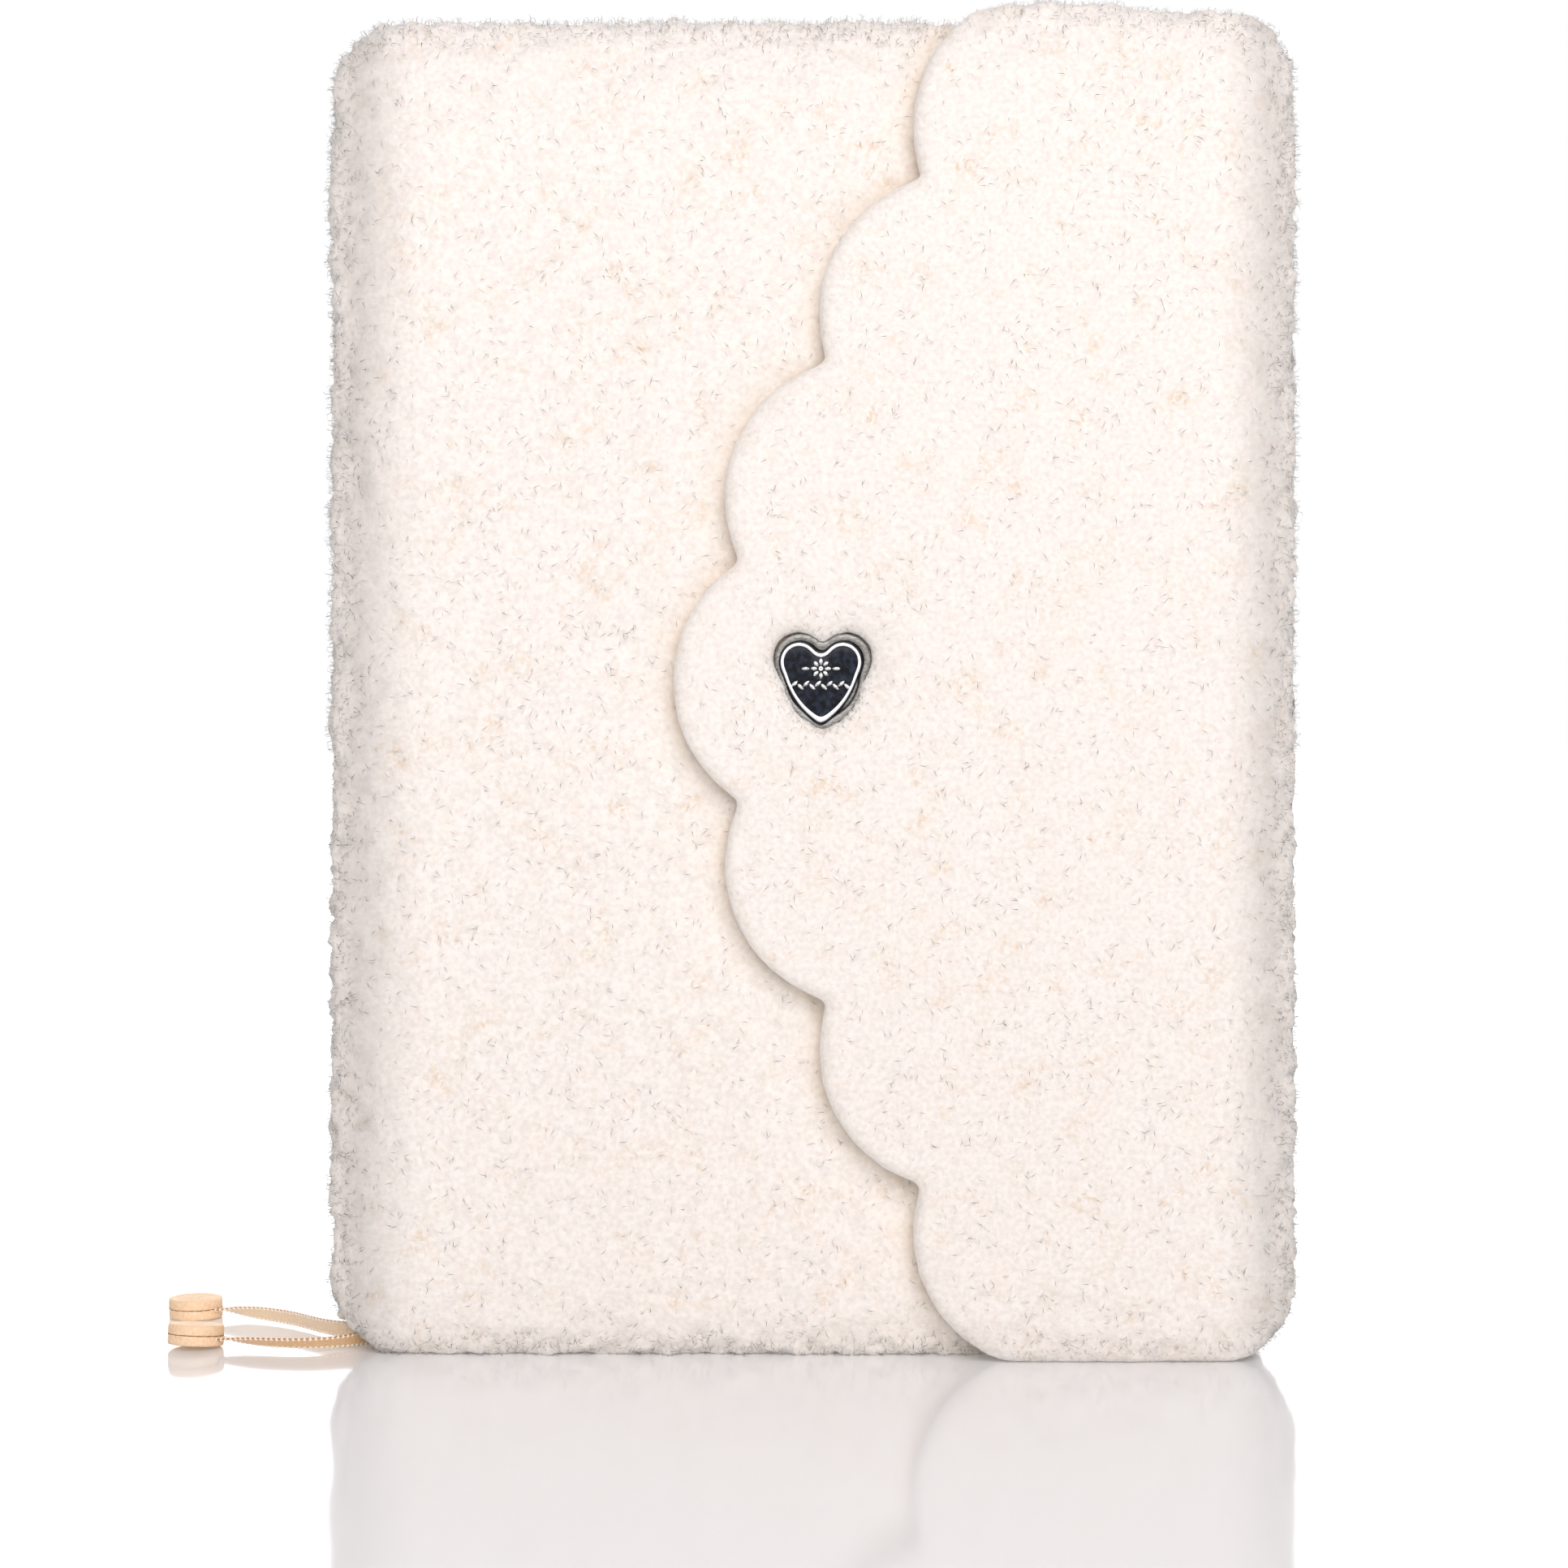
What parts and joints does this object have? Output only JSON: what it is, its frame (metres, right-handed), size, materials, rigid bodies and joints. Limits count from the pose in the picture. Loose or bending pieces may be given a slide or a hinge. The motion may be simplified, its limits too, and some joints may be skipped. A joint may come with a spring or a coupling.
{
  "type": "prayer book",
  "caption": "Hard-bound prayer book in curly fleece, with a fore-edge wall and scalloped flap that fold over the front, a heart badge and two ribbon bookmarks.",
  "frame": {"origin": "middle of the foot that the standing book rests on, measured without the ribbons", "axes": "+Z from tail to head, +Y from the front cover to the back cover, +X from the spine to the fore edge"},
  "size_m": [0.1877, 0.0498, 0.2156],
  "materials": {
    "fleece": "curly pile fleece",
    "lining_cloth": "woven beige lining",
    "binding_cloth": "plain cotton",
    "satin_ribbon": "double-face satin",
    "tan_leather": "natural vegetable-tanned leather",
    "paper": "uncoated cream paper",
    "endpaper": "laid endpaper",
    "kraft_paper": "kraft paper",
    "greyboard": "grey binder's board",
    "foam": "soft polyurethane foam sheet",
    "magnet_nickel": "nickel plated",
    "bright_metal": "polished, bevelled",
    "dark_inlay": "polished dark enamel"
  },
  "bodies": {
    "book": {"signature_01": "paper", "signature_02": "paper", "signature_03": "paper", "signature_04": "paper", "signature_05": "paper", "signature_06": "paper", "signature_07": "paper", "signature_08": "paper", "signature_09": "paper", "signature_10": "paper", "signature_11": "paper", "signature_12": "paper", "front_pastedown": "endpaper", "front_flyleaf": "endpaper", "back_flyleaf": "endpaper", "back_pastedown": "endpaper", "sewing_tapes": "binding_cloth", "spine_mull": "binding_cloth", "head_band": "binding_cloth", "tail_band": "binding_cloth", "spine_liner": "kraft_paper", "front_ribbon_inner": "satin_ribbon", "back_ribbon_inner": "satin_ribbon", "front_ribbon": "satin_ribbon", "back_ribbon": "satin_ribbon", "front_tab_base": "tan_leather", "front_tab_top": "tan_leather", "back_tab_base": "tan_leather", "back_tab_top": "tan_leather", "front_board": "greyboard", "back_board": "greyboard", "spine_board": "greyboard", "front_foam": "foam", "back_foam": "foam", "front_fleece": "fleece", "spine_fleece": "fleece", "back_fleece": "fleece", "front_keeper": "magnet_nickel"},
    "wall": {"wall_fleece": "fleece", "wall_board": "greyboard", "wall_lining": "lining_cloth"},
    "flap": {"flap_fleece": "fleece", "flap_board": "greyboard", "flap_lining": "lining_cloth", "flap_magnet": "magnet_nickel", "badge_surround": "tan_leather", "badge_plate": "bright_metal", "badge_inlay": "dark_inlay", "badge_rim": "bright_metal", "badge_motif": "bright_metal", "badge_pins": "bright_metal", "clamp_bar": "bright_metal"}
  },
  "joints": [
    {"name": "back_fold", "type": "hinge", "parent": "book", "child": "wall", "pos_m": [0.0735, 0.0175, 0.108], "axis": [0, 0, 1], "range_deg": [0, 120]},
    {"name": "front_fold", "type": "hinge", "parent": "wall", "child": "flap", "pos_m": [0.0735, -0.0175, 0.108], "axis": [0, 0, 1], "range_deg": [0, 140]}
  ]
}
